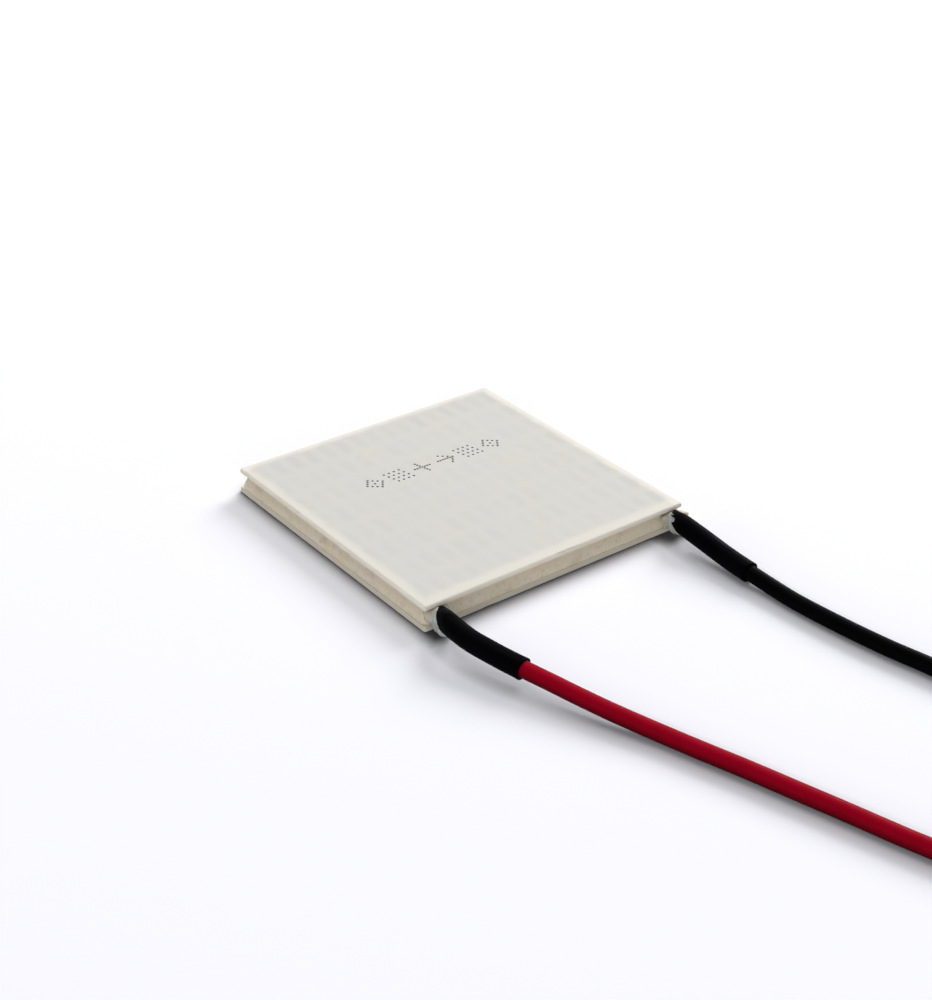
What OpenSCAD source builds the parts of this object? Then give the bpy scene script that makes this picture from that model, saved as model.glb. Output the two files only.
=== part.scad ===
// Thermoelectric cooling module: two ceramic plates with a grid of semiconductor pellets
// between them, a bead of sealant round the gap and two sleeved leads.
// The plates lie flat, the cold side down. The leads leave the edge that faces -Y.
// Millimetres. The origin is on the underside, in the middle of the plates.

/* [Ceramic plates] */
// Width of both plates, along X
plate_w = 40; // [36:0.5:50]
// Depth of both plates, along Y
plate_d = 40; // [36:0.5:50]
// Thickness of each plate
plate_t = 0.7; // [0.5:0.05:1]
// Rounding of the plates' upright corners
plate_corner_r = 0.3; // [0.1:0.1:0.8]
// Bare rim of each plate, from its edge to the copper
rim = 1.0; // [0.9:0.05:1.2]

/* [Junctions] */
// Pellets across the plates, along X
columns = 16; // [8:2:16]
// Pellets along the plates, along Y
rows = 16; // [8:2:16]
// Width of a square pellet
pellet_w = 1.4; // [1:0.05:1.5]
// Height of a pellet
pellet_h = 1.2; // [1:0.05:2]
// Width of a copper tab, which bridges two pellets
tab_w = 1.6; // [1.5:0.05:1.8]
// Thickness of a copper tab
tab_t = 0.3; // [0.2:0.05:0.4]
// Thickness of the solder between a pellet and its tab
solder_t = 0.1; // [0.05:0.01:0.15]

/* [Edge seal] */
// Gap between the copper and the seal's inner wall
seal_clearance = 0.1; // [0.05:0.01:0.12]
// How far the seal's foot, on the cold plate, stands in from the plates' edge
seal_foot = 0.1; // [0.1:0.05:0.4]
// How much deeper the hollow in the seal's outer wall is than its foot
seal_cove = 0.35; // [0.05:0.05:0.35]
// Rounding of the seal at the plates' corners, from the plates' edge
seal_corner_r = 1.2; // [1:0.05:1.2]

/* [Leads] */
// Diameter over a lead's insulation
wire_d = 2; // [1.6:0.1:2]
// Diameter of a lead's tinned strands
core_d = 1.2; // [0.6:0.1:1.2]
// Thickness of the shrunk sleeve's wall
sleeve_wall = 0.33; // [0.2:0.01:0.35]
// Gap between the plates' edge and the tip of the sleeve
sleeve_gap = 0.2; // [0.1:0.05:0.4]
// Slope of the sleeve's slanting mouth, from level
sleeve_slant = 33; // [25:1:45]
// Sideways lean of the red lead's mouth
red_mouth_lean = 35; // [0:5:40]
// Sideways lean of the black lead's mouth
black_mouth_lean = 25; // [0:5:40]
// Length of the strands that lie under a terminal pad
core_inside = 3.2; // [2.6:0.1:3.3]
// Length of the stripped and tinned end of a lead
tip_len = 6; // [3:0.5:8]
// Radius of the first turn of a stored lead
coil_r = 12.3; // [12:0.1:14]
// Distance between the turns of a stored lead
turn_pitch = 2.1; // [2.1:0.1:2.4]

/* [Hidden] */
$fn = 48;
eps = 0.01;

// Levels, from the underside up
cold_tab_z = plate_t;
cold_solder_z = cold_tab_z + tab_t;
pellet_z = cold_solder_z + solder_t;
hot_solder_z = pellet_z + pellet_h;
hot_tab_z = hot_solder_z + solder_t;
hot_plate_z = hot_tab_z + tab_t;
gap_h = hot_plate_z - plate_t;
edge_y = -plate_d / 2;

// The grid of junctions fills the plates inside their rim
pitch_x = (plate_w - 2 * rim - tab_w) / (columns - 1);
pitch_y = (plate_d - 2 * rim - tab_w) / (rows - 1);
tab_len_x = pitch_x + tab_w;
tab_len_y = pitch_y + tab_w;
grid_x = pitch_x * (columns - 1) / 2;
grid_y = pitch_y * (rows - 1) / 2;

// The seal's section: distances inward from the plates' edge
seal_inner = rim - seal_clearance;
cove_r = 2.4;
cove_z = 0.62 * gap_h;

// Leads: the strands lie under the terminal pads, and the insulation starts at the plates' edge
wire_r = wire_d / 2;
core_r = core_d / 2;
sleeve_r = wire_r + sleeve_wall;
exit_z = hot_tab_z - solder_t - core_r;
red_exit = [-grid_x, edge_y, exit_z];
black_exit = [grid_x, edge_y, exit_z];
lead_notch_w = 2.4;
dab_r = 0.9;
cord_sides = 8;

// Route of each lead from where it leaves the plates: X and Y from that place, and the height as
// a multiple of the drop from there to the floor. The sleeve covers the first sleeve_stops points.
red_route = [
    [0, 0, 1], [0, -0.5, 1], [-0.2, -1.3, 1.4], [-0.6, -2.4, 2.1], [-1, -3.8, 2.6],
    [-1.1, -5.4, 2.6], [-0.9, -7.2, 2.3], [-0.4, -9.4, 2], [0.2, -12, 1.8], [0.9, -14.6, 1.6],
    [1.9, -18, 1.3], [3, -21.6, 0.9], [4.3, -25.6, 0.5], [5.9, -30, 0.1], [7.5, -35, 0],
    [9.1, -40, 0], [10.7, -45.4, 0], [12.3, -50.8, 0], [13.9, -56.4, 0]
];
black_route = [
    [0, 0, 1], [0, -0.5, 1], [-0.4, -1.4, 1.5], [-0.8, -2.6, 2.1], [-0.9, -4, 2.1],
    [-0.7, -5.8, 1.6], [-0.7, -7.6, 1.3], [-0.7, -9.4, 1], [-0.7, -11.6, 0.7], [-0.7, -14.6, 0.5],
    [-0.6, -17.6, 0.2], [-0.5, -21.5, 0], [-0.2, -25.5, 0], [0.3, -30, 0], [1, -34.6, 0],
    [1.8, -38.4, 0]
];
sleeve_stops = 10;

// Stored coils: the middle, from where the lead leaves the plates, the bearing at which the lead
// joins its first turn, and the number of turns
red_coil_at = [30.4, -70.6];
red_coil_bearing = 194;
red_turns = 1.8;
black_coil_at = [18.3, -49.8];
black_coil_bearing = 199;
black_turns = 2.2;
entry_len = 7.5;
entry_lead = 5.5;
inner_sweep = 300;

// ---------- Routes ----------

function drop_z(h) = wire_r + h * (exit_z - wire_r);

function placed(route, from) =
    [for (p = route) [from.x + p.x, from.y + p.y, drop_z(p.z)]];

function coil_centre(at, from) = [from.x + at.x, from.y + at.y, wire_r];

// A point on the straight stretch that leads into a coil, at a distance before its first turn
function entry_point(centre, bearing, before) =
    centre + coil_r * [cos(bearing), sin(bearing), 0]
        + before * [sin(bearing), -cos(bearing), 0];

function lead_route(route, from, at, bearing) =
    let (centre = coil_centre(at, from))
    concat(
        placed(route, from),
        [
            entry_point(centre, bearing, entry_len + entry_lead),
            entry_point(centre, bearing, entry_len)
        ]
    );

function first(route, count) = [for (i = [0:count - 1]) route[i]];

function unit(v) = v / norm(v);

function tangent(route, i) =
    unit(route[min(i + 1, len(route) - 1)] - route[max(i - 1, 0)]);

// One ring of a swept tube, with a corner at the bottom
function ring(route, i, r) =
    let (along = tangent(route, i), side = unit(cross(along, [0, 0, 1])), up = cross(side, along))
    [for (k = [0:cord_sides - 1])
        let (a = 360 * k / cord_sides)
        route[i] + r * (sin(a) * side - cos(a) * up)];

function coil_end_r(turns) = coil_r - turn_pitch * turns;

function coil_end_bearing(bearing, turns) = bearing + 360 * turns;

red_path = lead_route(red_route, red_exit, red_coil_at, red_coil_bearing);
black_path = lead_route(black_route, black_exit, black_coil_at, black_coil_bearing);

// ---------- Helpers ----------

// A tube swept along a route, closed at both ends
module swept_tube(route, r) {
    n = cord_sides;
    last = len(route) - 1;
    polyhedron(
        points = [for (i = [0:last]) each ring(route, i, r)],
        faces = concat(
            [[for (k = [n - 1:-1:0]) k]],
            [for (i = [0:last - 1], k = [0:n - 1])
                [i * n + k, i * n + (k + 1) % n, (i + 1) * n + (k + 1) % n, (i + 1) * n + k]],
            [[for (k = [0:n - 1]) last * n + k]]
        )
    );
}

// A plate with rounded upright corners
module plate(z) {
    across = plate_w - 2 * plate_corner_r;
    along = plate_d - 2 * plate_corner_r;
    translate([0, 0, z])
        linear_extrude(plate_t) {
            square([plate_w, along], center = true);
            square([across, plate_d], center = true);
            for (x = [-across / 2, across / 2], y = [-along / 2, along / 2])
                translate([x, y])
                    circle(r = plate_corner_r);
        }
}

// The middle of a junction, or a place between junctions
function cell(i, j) = [i * pitch_x - grid_x, j * pitch_y - grid_y];

module cell_block(i, j, size, z) {
    at = cell(i, j);
    translate([at.x - size.x / 2, at.y - size.y / 2, z])
        cube(size);
}

// A tab that bridges the junctions (i, j) and (i, j + 1)
module upright_tab(i, j, z) {
    cell_block(i, j + 0.5, [tab_w, tab_len_y, tab_t], z);
}

// A tab that bridges the junctions (i, j) and (i + 1, j)
module cross_tab(i, j, z) {
    cell_block(i + 0.5, j, [tab_len_x, tab_w, tab_t], z);
}

// The two corner junctions on the lead side hold no pellet: the strands are soldered there
function is_terminal(i, j) = j == 0 && (i == 0 || i == columns - 1);

module junction_blocks(parities, size, z) {
    for (i = [0:columns - 1], j = [0:rows - 1])
        if (!is_terminal(i, j) && len(search((i + j) % 2, parities)) > 0)
            cell_block(i, j, size, z);
}

// ---------- Stack of plates, copper and pellets ----------

module hot_side_plate() {
    color("ivory")
        plate(hot_plate_z);
}

module cold_side_plate() {
    color("ivory")
        plate(0);
}

// The hot side's tabs all lie along the columns
module hot_side_tabs() {
    color("peru")
        for (i = [0:columns - 1], j = [0:2:rows - 2])
            if (!is_terminal(i, j))
                upright_tab(i, j, hot_tab_z);
}

// The cold side's tabs lie half a step along, and cross to the next column at both ends
module cold_side_tabs() {
    color("peru") {
        for (i = [0:columns - 1], j = [1:2:rows - 3])
            upright_tab(i, j, cold_tab_z);
        for (i = [0:2:columns - 2])
            cross_tab(i, rows - 1, cold_tab_z);
        for (i = [1:2:columns - 3])
            cross_tab(i, 0, cold_tab_z);
    }
}

module red_terminal_pad() {
    color("peru")
        upright_tab(0, 0, hot_tab_z);
}

module black_terminal_pad() {
    color("peru")
        upright_tab(columns - 1, 0, hot_tab_z);
}

module p_type_pellets() {
    color("dimgray")
        junction_blocks([0], [pellet_w, pellet_w, pellet_h], pellet_z);
}

module n_type_pellets() {
    color("slategray")
        junction_blocks([1], [pellet_w, pellet_w, pellet_h], pellet_z);
}

module hot_side_solder() {
    color("silver")
        junction_blocks([0, 1], [pellet_w, pellet_w, solder_t], hot_solder_z);
}

module cold_side_solder() {
    color("silver")
        junction_blocks([0, 1], [pellet_w, pellet_w, solder_t], cold_solder_z);
}

// ---------- Edge seal ----------

// The seal's section, with X inward from the plates' edge and a hollow in its outer wall
module seal_section() {
    difference() {
        translate([seal_foot, 0])
            square([seal_inner - seal_foot, gap_h]);
        translate([seal_foot + seal_cove - cove_r, cove_z])
            circle(r = cove_r, $fn = 96);
    }
}

// A straight run of the seal along the edge at distance half from the middle
module seal_side(half, run) {
    translate([-half, run / 2, plate_t])
        rotate([90, 0, 0])
            linear_extrude(run)
                seal_section();
}

module seal_corner() {
    translate([seal_corner_r - plate_w / 2, seal_corner_r - plate_d / 2, plate_t])
        rotate([0, 0, 180])
            rotate_extrude(angle = 90)
                translate([seal_corner_r, 0])
                    mirror([1, 0])
                        seal_section();
}

// The gap that a lead passes through
module lead_notch(from) {
    translate([from.x - lead_notch_w / 2, from.y - eps, plate_t - eps])
        cube([lead_notch_w, seal_inner + 2 * eps, gap_h + 2 * eps]);
}

module edge_seal() {
    color("tan")
        difference() {
            union() {
                for (turn = [0, 180]) rotate([0, 0, turn]) {
                    seal_side(plate_w / 2, plate_d - 2 * seal_corner_r);
                    rotate([0, 0, 90])
                        seal_side(plate_d / 2, plate_w - 2 * seal_corner_r);
                    seal_corner();
                    mirror([0, 1, 0])
                        seal_corner();
                }
            }
            lead_notch(red_exit);
            lead_notch(black_exit);
        }
}

// ---------- Leads ----------

// The strands, from under the terminal pad to the plates' edge
module core(from) {
    translate(from)
        rotate([-90, 0, 0])
            cylinder(r = core_r, h = core_inside);
}

// Solder between a terminal pad and the strands, wider at the pad
module terminal_solder(from) {
    top = hot_tab_z - exit_z;
    reach = core_inside - rim;
    difference() {
        translate([from.x, from.y + core_inside, exit_z])
            rotate([90, 0, 0])
                linear_extrude(reach)
                    polygon([
                        [-tab_w / 2 + 0.05, top], [tab_w / 2 - 0.05, top],
                        [core_r + 0.08, 0], [-core_r - 0.08, 0]
                    ]);
        core(from);
    }
}

// Everything on the plates' side of a sleeve's mouth, which slants along the lead and sideways
module mouth_side(from, lean) {
    translate([from.x, from.y - sleeve_gap, exit_z + sleeve_r]) {
        rotate([sleeve_slant, lean, 0])
            translate([-5, -20, -10])
                cube([10, 40, 10]);
        translate([-5, 0, -10])
            cube([10, 5, 20]);
    }
}

module sleeve(path, from, lean) {
    difference() {
        swept_tube(first(path, sleeve_stops), sleeve_r);
        swept_tube(path, wire_r);
        mouth_side(from, lean);
    }
}

// A dab of clear sealant that fills the notch round the strands and the sleeve's mouth.
// bulge is the side on which it swells.
module lead_seal(path, from, lean, bulge) {
    difference() {
        union() {
            translate([from.x - lead_notch_w / 2, from.y, plate_t])
                cube([lead_notch_w, seal_inner, gap_h]);
            intersection() {
                hull() {
                    for (p = [[0.3, -0.1, 0.2], [bulge * 0.9, -0.2, -0.2], [bulge * 0.3, -1.7, -0.3]])
                        translate(from + p)
                            sphere(r = dab_r, $fn = 24);
                }
                translate([from.x - 5, from.y - 10, plate_t / 4])
                    cube([10, 10, gap_h + plate_t * 3 / 4]);
            }
        }
        core(from);
        swept_tube(path, wire_r);
        difference() {
            swept_tube(first(path, sleeve_stops), sleeve_r);
            mouth_side(from, lean);
        }
    }
}

// A stored coil, laid flat as a spiral: a ring over all its turns, whose inmost turn stops short
// and leaves room for the lead's end
module coil(at, from, bearing, turns) {
    centre = coil_centre(at, from);
    outer_r = coil_r + wire_r;
    end_r = coil_end_r(turns);
    inner_r = end_r + core_r + 0.15;
    translate([centre.x, centre.y, 0])
        difference() {
            cylinder(r = outer_r, h = wire_d);
            translate([0, 0, -eps])
                cylinder(r = end_r - wire_r, h = wire_d + 2 * eps);
            rotate([0, 0, coil_end_bearing(bearing, turns)])
                rotate_extrude(angle = 360 - inner_sweep)
                    translate([end_r - wire_d, -eps])
                        square([inner_r - end_r + wire_d, wire_d + 2 * eps]);
        }
    translate(entry_point(centre, bearing, 0))
        rotate([0, 0, bearing])
            rotate([90, 0, 0])
                rotate([0, 0, 180 / cord_sides])
                    cylinder(r = wire_r, h = entry_len, $fn = cord_sides);
}

// The stripped and tinned end of a lead, which follows the inmost turn
module tip(at, from, bearing, turns) {
    end_r = coil_end_r(turns);
    translate(coil_centre(at, from))
        rotate([0, 0, coil_end_bearing(bearing, turns)])
            rotate_extrude(angle = tip_len / end_r * 180 / PI)
                translate([end_r, 0])
                    circle(r = core_r);
}

module red_lead_seal() {
    color("gainsboro")
        lead_seal(red_path, red_exit, red_mouth_lean, -1);
}

module black_lead_seal() {
    color("gainsboro")
        lead_seal(black_path, black_exit, black_mouth_lean, 1);
}

module red_terminal_solder() {
    color("silver")
        terminal_solder(red_exit);
}

module black_terminal_solder() {
    color("silver")
        terminal_solder(black_exit);
}

module red_lead_core() {
    color("silver")
        core(red_exit);
}

module black_lead_core() {
    color("silver")
        core(black_exit);
}

module red_lead_sleeve() {
    color("#181818")
        sleeve(red_path, red_exit, red_mouth_lean);
}

module black_lead_sleeve() {
    color("#181818")
        sleeve(black_path, black_exit, black_mouth_lean);
}

module red_lead() {
    color("crimson")
        swept_tube(red_path, wire_r);
}

module black_lead() {
    color("#101010")
        swept_tube(black_path, wire_r);
}

module red_lead_coil() {
    color("crimson")
        coil(red_coil_at, red_exit, red_coil_bearing, red_turns);
}

module black_lead_coil() {
    color("#101010")
        coil(black_coil_at, black_exit, black_coil_bearing, black_turns);
}

module red_lead_tip() {
    color("silver")
        tip(red_coil_at, red_exit, red_coil_bearing, red_turns);
}

module black_lead_tip() {
    color("silver")
        tip(black_coil_at, black_exit, black_coil_bearing, black_turns);
}

hot_side_plate();
cold_side_plate();
hot_side_tabs();
cold_side_tabs();
red_terminal_pad();
black_terminal_pad();
p_type_pellets();
n_type_pellets();
hot_side_solder();
cold_side_solder();
edge_seal();
red_lead_seal();
black_lead_seal();
red_terminal_solder();
black_terminal_solder();
red_lead_core();
black_lead_core();
red_lead_sleeve();
black_lead_sleeve();
red_lead();
black_lead();
red_lead_coil();
black_lead_coil();
red_lead_tip();
black_lead_tip();
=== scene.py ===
"""Finishes a thermoelectric cooling module: two ceramic plates, the bead of sealant between them
and two leads in shrunk sleeves.

Metres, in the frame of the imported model: the plates lie flat with the cold side down, and the
leads leave the edge that faces -Y.
"""

import math

import bmesh
import bpy
from mathutils import Matrix, Vector, noise


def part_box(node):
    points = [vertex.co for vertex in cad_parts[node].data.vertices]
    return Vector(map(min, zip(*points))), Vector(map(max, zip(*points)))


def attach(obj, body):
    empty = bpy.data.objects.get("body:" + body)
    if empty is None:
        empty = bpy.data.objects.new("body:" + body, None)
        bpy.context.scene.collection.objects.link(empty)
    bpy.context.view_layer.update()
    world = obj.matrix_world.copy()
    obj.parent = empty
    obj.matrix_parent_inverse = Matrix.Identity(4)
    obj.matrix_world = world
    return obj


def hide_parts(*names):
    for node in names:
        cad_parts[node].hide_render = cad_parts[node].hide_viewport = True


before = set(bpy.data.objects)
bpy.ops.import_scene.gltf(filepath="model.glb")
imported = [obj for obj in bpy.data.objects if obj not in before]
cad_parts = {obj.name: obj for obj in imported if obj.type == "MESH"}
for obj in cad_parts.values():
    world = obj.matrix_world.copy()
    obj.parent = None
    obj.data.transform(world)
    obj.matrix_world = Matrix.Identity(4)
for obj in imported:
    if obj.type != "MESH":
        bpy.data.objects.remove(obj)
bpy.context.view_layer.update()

MM = 0.001

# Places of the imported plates, and the pitch of the tabs between them
HOT_LOW, HOT_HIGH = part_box("hot_side_plate")
COLD_LOW, COLD_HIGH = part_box("cold_side_plate")
HALF_WIDTH = HOT_HIGH.x
HALF_DEPTH = HOT_HIGH.y
GAP_LOW = COLD_HIGH.z
GAP_HIGH = HOT_LOW.z
TAB_LOW, TAB_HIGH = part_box("hot_side_tabs")
TAB_WIDTH = 1.6 * MM
TAB_COLUMNS = 16
TAB_PITCH = (TAB_HIGH.x - TAB_LOW.x - TAB_WIDTH) / (TAB_COLUMNS - 1)

# Leads, and the flat coils in which they are stored
WIRE_RADIUS = 1 * MM
TIP_LENGTH = 6 * MM
COIL_RADIUS = 12.3 * MM
TURN_PITCH = 2.1 * MM

# Each coil: its middle from the lead's exit in millimetres, the bearing at which the lead joins
# it, and its turns
RED_COIL = ((30.4, -70.6), math.radians(194), 1.8)
BLACK_COIL = ((18.3, -49.8), math.radians(199), 2.2)

# Each lead's route from its exit: X and Y in millimetres, and the height as a multiple of the drop
# from the exit to the floor
RED_ROUTE = [
    (0, 0, 1), (0, -0.5, 1), (-0.2, -1.3, 1.4), (-0.6, -2.4, 2.1), (-1, -3.8, 2.6),
    (-1.1, -5.4, 2.6), (-0.9, -7.2, 2.3), (-0.4, -9.4, 2), (0.2, -12, 1.8), (0.9, -14.6, 1.6),
    (1.9, -18, 1.3), (3, -21.6, 0.9), (4.3, -25.6, 0.5), (5.9, -30, 0.1), (7.5, -35, 0),
    (9.1, -40, 0), (10.7, -45.4, 0), (12.3, -50.8, 0), (13.9, -56.4, 0),
]
BLACK_ROUTE = [
    (0, 0, 1), (0, -0.5, 1), (-0.4, -1.4, 1.5), (-0.8, -2.6, 2.1), (-0.9, -4, 2.1),
    (-0.7, -5.8, 1.6), (-0.7, -7.6, 1.3), (-0.7, -9.4, 1), (-0.7, -11.6, 0.7), (-0.7, -14.6, 0.5),
    (-0.6, -17.6, 0.2), (-0.5, -21.5, 0), (-0.2, -25.5, 0), (0.3, -30, 0), (1, -34.6, 0),
    (1.8, -38.4, 0),
]
SLEEVE_STOPS = 10  # the points of a route that its sleeve covers


# ---------- Camera ----------

VIEW_AZIMUTH = math.radians(-38.16)
VIEW_ELEVATION = math.radians(30.12)
VIEW_ROLL = math.radians(1.04)
VIEW_DISTANCE = 223.2 * MM
VIEW_CENTRE = Vector((1.067, 1.05)) * MM
VIEW_LENS = 63.04


def make_camera():
    back = Vector((
        math.sin(VIEW_AZIMUTH) * math.cos(VIEW_ELEVATION),
        -math.cos(VIEW_AZIMUTH) * math.cos(VIEW_ELEVATION),
        math.sin(VIEW_ELEVATION),
    ))
    turned = Matrix.Rotation(VIEW_ROLL, 3, back)
    right = turned @ Vector((math.cos(VIEW_AZIMUTH), math.sin(VIEW_AZIMUTH), 0))
    up = back.cross(right)
    camera = bpy.data.objects.new("camera", bpy.data.cameras.new("camera"))
    bpy.context.scene.collection.objects.link(camera)
    place = back * VIEW_DISTANCE + right * VIEW_CENTRE.x + up * VIEW_CENTRE.y
    axes = Matrix((right, up, back)).transposed()
    camera.matrix_world = Matrix.Translation(place) @ axes.to_4x4()
    camera.data.lens = VIEW_LENS
    camera.data.clip_start = 1 * MM
    camera.data.clip_end = 10
    bpy.context.scene.camera = camera


make_camera()


# ---------- Node materials ----------


class Shader:
    """Adds nodes to a material or a node group, one short call for each."""

    def __init__(self, tree):
        self.tree = tree

    def node(self, kind, values=None, **settings):
        made = self.tree.nodes.new(kind)
        for name, value in settings.items():
            setattr(made, name, value)
        for socket, value in (values or {}).items():
            self.put(made.inputs[socket], value)
        return made

    def put(self, socket, value):
        if isinstance(value, bpy.types.NodeSocket):
            self.tree.links.new(value, socket)
        else:
            socket.default_value = value

    def math(self, operation, *values):
        return self.node("ShaderNodeMath", dict(enumerate(values)), operation=operation).outputs[0]

    def mix(self, factor, first, second):
        """A blend of two colours. The sockets are numbered, because their names repeat."""
        sockets = {0: factor, 6: first, 7: second}
        return self.node("ShaderNodeMix", sockets, data_type="RGBA").outputs[2]

    def split(self, vector):
        return self.node("ShaderNodeSeparateXYZ", {0: vector}).outputs

    def larger(self, first, second):
        return self.math("MAXIMUM", first, second)

    def absolute(self, value):
        return self.math("ABSOLUTE", value)

    def ramp(self, value, low, high, to_low=0.0, to_high=1.0, smooth=True):
        kind = "SMOOTHSTEP" if smooth else "LINEAR"
        sockets = {0: value, 1: low, 2: high, 3: to_low, 4: to_high}
        return self.node("ShaderNodeMapRange", sockets, interpolation_type=kind).outputs[0]

    def noise(self, place, scale, detail=3.0, roughness=0.55):
        sockets = {"Vector": place, "Scale": scale, "Detail": detail, "Roughness": roughness}
        return self.node("ShaderNodeTexNoise", sockets).outputs["Fac"]


def colour(red, green, blue):
    return (red, green, blue, 1.0)


def new_group(name, inputs, outputs):
    """A node group with named sockets. Returns the group, its shader helper and both end nodes."""
    group = bpy.data.node_groups.new(name, "ShaderNodeTree")
    for label, kind, value in inputs:
        socket = group.interface.new_socket(name=label, in_out="INPUT", socket_type=kind)
        if value is not None:
            socket.default_value = value
    for label, kind in outputs:
        group.interface.new_socket(name=label, in_out="OUTPUT", socket_type=kind)
    shader = Shader(group)
    return group, shader, shader.node("NodeGroupInput").outputs, shader.node("NodeGroupOutput")


def make_cloud_group():
    """Soft blotches and fine grain over a colour, with a matching mask and height."""
    group, s, given, result = new_group(
        "blotches_and_grain",
        [
            ("Place", "NodeSocketVector", None),
            ("Colour", "NodeSocketColor", colour(0.5, 0.5, 0.5)),
            ("Blotch Colour", "NodeSocketColor", colour(0.4, 0.4, 0.4)),
            ("Blotch Size", "NodeSocketFloat", 3 * MM),
            ("Blotch Amount", "NodeSocketFloat", 0.5),
            ("Grain Size", "NodeSocketFloat", 0.2 * MM),
            ("Grain Amount", "NodeSocketFloat", 0.1),
        ],
        [("Colour", "NodeSocketColor"), ("Mask", "NodeSocketFloat"),
         ("Height", "NodeSocketFloat")],
    )
    blotch = s.noise(given["Place"], s.math("DIVIDE", 1.0, given["Blotch Size"]), 4.0)
    grain = s.noise(given["Place"], s.math("DIVIDE", 1.0, given["Grain Size"]), 2.0, 0.7)
    spread = s.ramp(blotch, 0.35, 0.68)
    tinted = s.mix(s.math("MULTIPLY", spread, given["Blotch Amount"]),
                   given["Colour"], given["Blotch Colour"])
    shade = s.math("MULTIPLY_ADD", s.math("SUBTRACT", grain, 0.5), given["Grain Amount"], 1.0)
    shaded = s.node("ShaderNodeVectorMath", {0: tinted, "Scale": shade}, operation="SCALE")
    s.put(result.inputs["Colour"], shaded.outputs[0])
    s.put(result.inputs["Mask"], spread)
    height = s.math("MULTIPLY_ADD", blotch, 0.5, s.math("MULTIPLY", grain, 0.5))
    s.put(result.inputs["Height"], height)
    return group


# The tabs' shadows lie a little off the plate's middle and end before its edge, at a bare rim
SHADOWS_MIDDLE = Vector((0.1, 0.4)) * MM
SHADOWS_REACH = Vector((18.5, 18.4)) * MM
RIM_BLUR = (-0.3 * MM, 1.0 * MM)  # from that reach, how far inward and outward the rim fades in
# Toward the far sides the shadows turn deeper (painted shade) and the rim paler (painted light)
DEEPER_X = (16.6 * MM, 17.6 * MM)
DEEPER_Y = (13.9 * MM, 15.2 * MM)
PALER = (18.4 * MM, 19.1 * MM)
SIDE = (19.84 * MM, 19.95 * MM)  # where the top gives way to the plate's side
TAB_WANDER = 0.9 * MM  # how far the soft outline of a tab strays


def make_tab_shadow_group():
    """The copper tabs as they show through a thin plate: rounded dark bars in columns."""
    group, s, given, result = new_group(
        "tabs_seen_through_plate",
        [("Place", "NodeSocketVector", None), ("Row Offset", "NodeSocketFloat", 0.0)],
        [(label, "NodeSocketFloat") for label in ("Tab", "Rim", "Far Side", "Far Rim", "Side")],
    )
    sockets = {"Vector": given["Place"], "Scale": 420.0, "Detail": 2.0}
    wander = s.node("ShaderNodeTexNoise", sockets).outputs["Color"]
    sockets = {0: wander, 1: (0.5, 0.5, 0.5)}
    shift = s.node("ShaderNodeVectorMath", sockets, operation="SUBTRACT").outputs[0]
    sockets = {0: shift, 1: (TAB_WANDER, TAB_WANDER, 0), 2: given["Place"]}
    shaken = s.node("ShaderNodeVectorMath", sockets, operation="MULTIPLY_ADD").outputs[0]
    place = s.split(shaken)

    # A tab joins two pellets along Y, so a row is two pitches deep
    column = s.math("DIVIDE", place["X"], TAB_PITCH)
    row = s.math("ADD", s.math("DIVIDE", place["Y"], 2 * TAB_PITCH), given["Row Offset"])
    across = s.absolute(s.math("SUBTRACT", s.math("FRACT", column), 0.5))
    along = s.absolute(s.math("SUBTRACT", s.math("FRACT", row), 0.5))
    bar = s.math("MULTIPLY", s.ramp(across, 0.05, 0.5, 1.0, 0.0),
                 s.ramp(along, 0.2, 0.5, 1.0, 0.0))
    cell = s.node("ShaderNodeCombineXYZ", {0: s.math("FLOOR", column), 1: s.math("FLOOR", row)})
    each = s.node("ShaderNodeTexWhiteNoise", {"Vector": cell.outputs[0]}, noise_dimensions="3D")
    uneven = s.ramp(each.outputs["Value"], 0.0, 1.0, 0.35, 1.0, smooth=False)
    s.put(result.inputs["Tab"], s.math("MULTIPLY", bar, uneven))

    past = [
        s.math("SUBTRACT", s.absolute(s.math("SUBTRACT", place[axis], middle)), reach)
        for axis, middle, reach in zip("XY", SHADOWS_MIDDLE, SHADOWS_REACH)
    ]
    s.put(result.inputs["Rim"], s.ramp(s.larger(*past), *RIM_BLUR))
    painted_far_side_shade = s.larger(s.ramp(place["Y"], *DEEPER_Y), s.ramp(place["X"], *DEEPER_X))
    s.put(result.inputs["Far Side"], painted_far_side_shade)
    flat = s.split(given["Place"])
    outward = s.larger(s.absolute(flat["X"]), s.absolute(flat["Y"]))
    s.put(result.inputs["Side"], s.ramp(outward, *SIDE))
    s.put(result.inputs["Far Rim"], s.ramp(s.larger(flat["X"], flat["Y"]), *PALER))
    return group


CLOUDS = make_cloud_group()
TAB_SHADOWS = make_tab_shadow_group()


def new_material(name, **constants):
    """A material with a Principled shader, whose plain values are set on the shader itself."""
    material = bpy.data.materials.new(name)
    material.use_nodes = True
    s = Shader(material.node_tree)
    surface = material.node_tree.nodes["Principled BSDF"]
    for socket, value in constants.items():
        surface.inputs[socket.replace("_", " ")].default_value = value
    place = s.node("ShaderNodeTexCoord").outputs["Object"]
    return material, s, surface.inputs, place


def place_group(s, group, values):
    made = s.node("ShaderNodeGroup", node_tree=group)
    for socket, value in values.items():
        s.put(made.inputs[socket], value)
    return made.outputs


def bump(s, height, strength, distance):
    sockets = {"Height": height, "Strength": strength, "Distance": distance}
    return s.node("ShaderNodeBump", sockets).outputs[0]


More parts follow.
